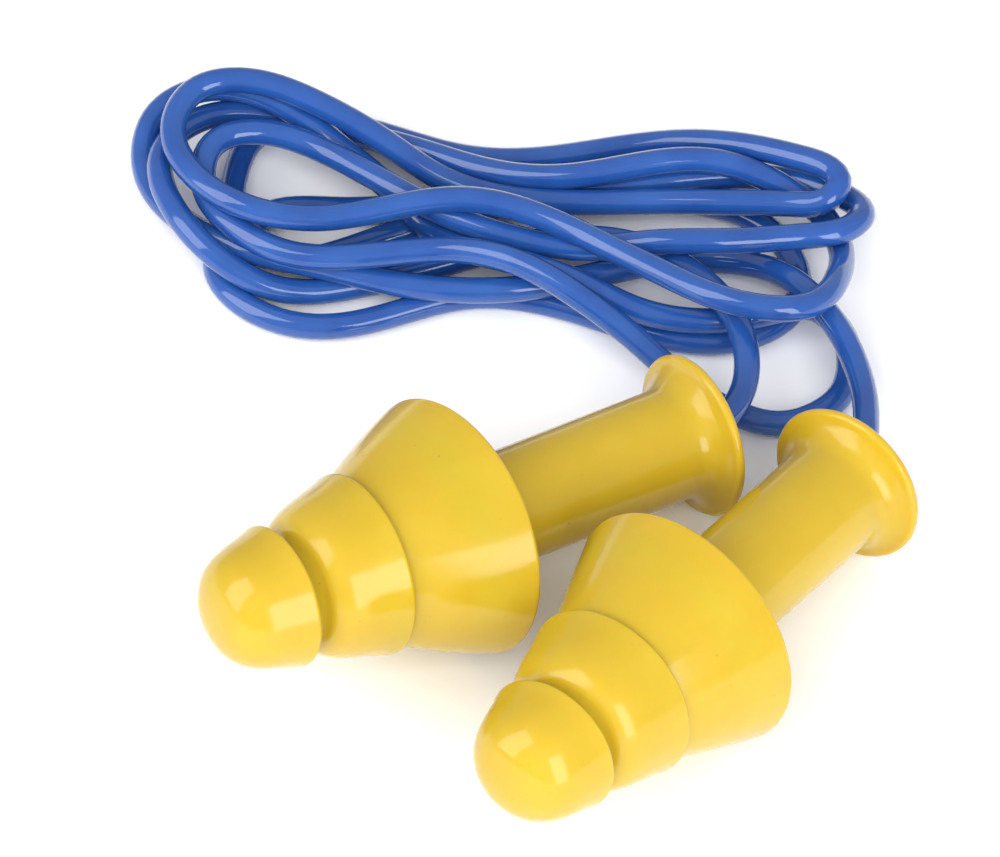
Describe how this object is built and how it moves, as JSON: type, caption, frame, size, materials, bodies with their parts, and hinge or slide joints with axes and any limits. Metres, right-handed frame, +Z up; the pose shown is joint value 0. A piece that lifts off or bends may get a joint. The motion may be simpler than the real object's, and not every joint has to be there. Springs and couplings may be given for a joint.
{
  "type": "corded ear plugs",
  "caption": "Pair of soft reusable ear plugs with umbrella skirts, round stems and flared rear bells, joined by a long thin cord lying in a loose bundle.",
  "frame": {"origin": "middle of the two plugs' footprint, on the surface that they lie on", "axes": "+Z up; +X along the bundle, towards the end where the plugs' bells are; +Y from the plugs towards the bundle"},
  "size_m": [0.0384, 0.0493, 0.0123],
  "materials": {
    "plug_rubber": "satin opaque yellow elastomer",
    "cord_sheath": "glossy blue vinyl sheath"
  },
  "bodies": {
    "cord": {"cord_bundle": "cord_sheath", "cord_floor_loop": "cord_sheath", "cord_lead_left": "cord_sheath", "cord_lead_right": "cord_sheath"},
    "left_plug": {"plug_left": "plug_rubber"},
    "right_plug": {"plug_right": "plug_rubber"}
  },
  "joints": [
    {"name": "left_swing", "type": "hinge", "parent": "cord", "child": "left_plug", "pos_m": [0.00512, 0.01038, 0.00427], "axis": [0, 0, 1], "range_deg": [-30, 0]},
    {"name": "right_swing", "type": "hinge", "parent": "cord", "child": "right_plug", "pos_m": [0.01287, 0.00725, 0.00427], "axis": [0, 0, 1], "range_deg": [0, 30]}
  ]
}
